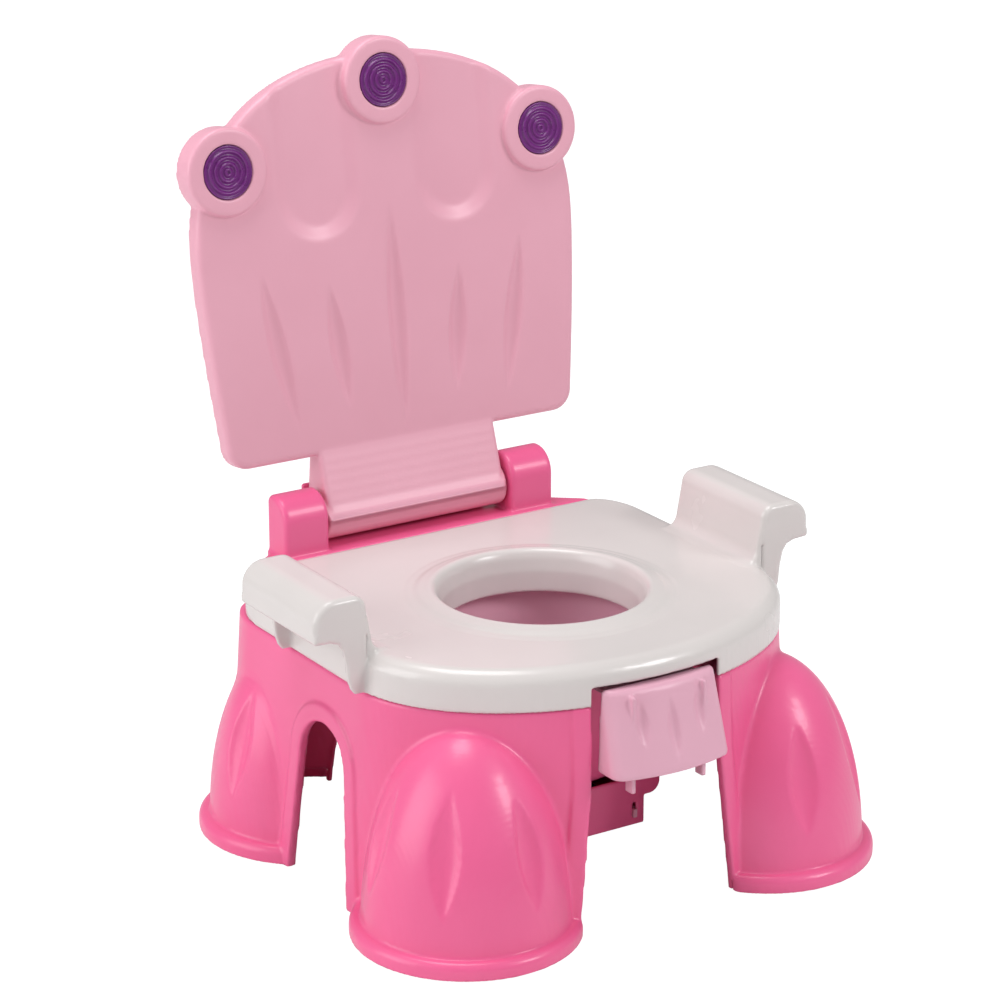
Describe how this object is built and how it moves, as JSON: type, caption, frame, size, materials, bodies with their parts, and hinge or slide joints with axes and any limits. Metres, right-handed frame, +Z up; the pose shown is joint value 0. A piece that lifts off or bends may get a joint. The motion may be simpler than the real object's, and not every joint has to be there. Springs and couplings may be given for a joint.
{
  "type": "potty training chair",
  "caption": "Child's potty chair with petal legs, a lift-off seat ring with side handles, a lift-out bowl and a hinged throne-back lid that shuts into a step.",
  "frame": {"origin": "middle of the box round the object at rest, on the floor", "axes": "+Z up, -Y to the front where the bowl's tab is, +X to the right seen from the front"},
  "size_m": [0.369, 0.3694, 0.4945],
  "materials": {
    "hot_pink": "glossy moulded plastic",
    "pale_pink": "satin moulded plastic",
    "lilac_pink": "satin moulded plastic",
    "warm_white": "glossy moulded plastic",
    "purple": "glossy moulded plastic",
    "steel": "zinc plated",
    "cell_jacket": "printed jacket, left plain",
    "board_green": "glass-fibre board",
    "black_plastic": "fine texture",
    "pad_rubber": "soft, matt"
  },
  "bodies": {
    "base": {"base_shell": "hot_pink", "hinge_deck": "hot_pink", "deck_screws": "steel", "hinge_pin_left": "steel", "hinge_pin_right": "steel", "bowl_well": "hot_pink", "sound_housing": "hot_pink", "housing_screws": "steel", "battery_door": "hot_pink", "battery_door_screw": "steel", "battery_cells": "cell_jacket", "contact_springs": "steel", "circuit_board": "board_green", "speaker": "black_plastic", "sensor_studs": "steel", "foot_pad_front_left": "pad_rubber", "foot_pad_front_right": "pad_rubber", "foot_pad_rear_left": "pad_rubber", "foot_pad_rear_right": "pad_rubber"},
    "lid": {"lid_shell": "pale_pink", "lid_step_panel": "pale_pink", "lid_arm_cover": "pale_pink", "jewel_left": "purple", "jewel_centre": "purple", "jewel_right": "purple"},
    "bowl": {"bowl": "lilac_pink"},
    "seat": {"seat_ring": "warm_white"},
    "switch": {"power_switch": "black_plastic"}
  },
  "joints": [
    {"name": "lid_hinge", "type": "hinge", "parent": "base", "child": "lid", "pos_m": [0, 0.13784, 0.186], "axis": [1, 0, 0], "range_deg": [0, 97.3]},
    {"name": "bowl_lift", "type": "slide", "parent": "base", "child": "bowl", "axis": [0, 0, 1], "range_m": [0, 0.25]},
    {"name": "seat_lift", "type": "slide", "parent": "bowl", "child": "seat", "axis": [0, 0, 1], "range_m": [0, 0.15]},
    {"name": "switch_slide", "type": "slide", "parent": "base", "child": "switch", "axis": [0, 0, 1], "range_m": [0, 0.004]}
  ]
}
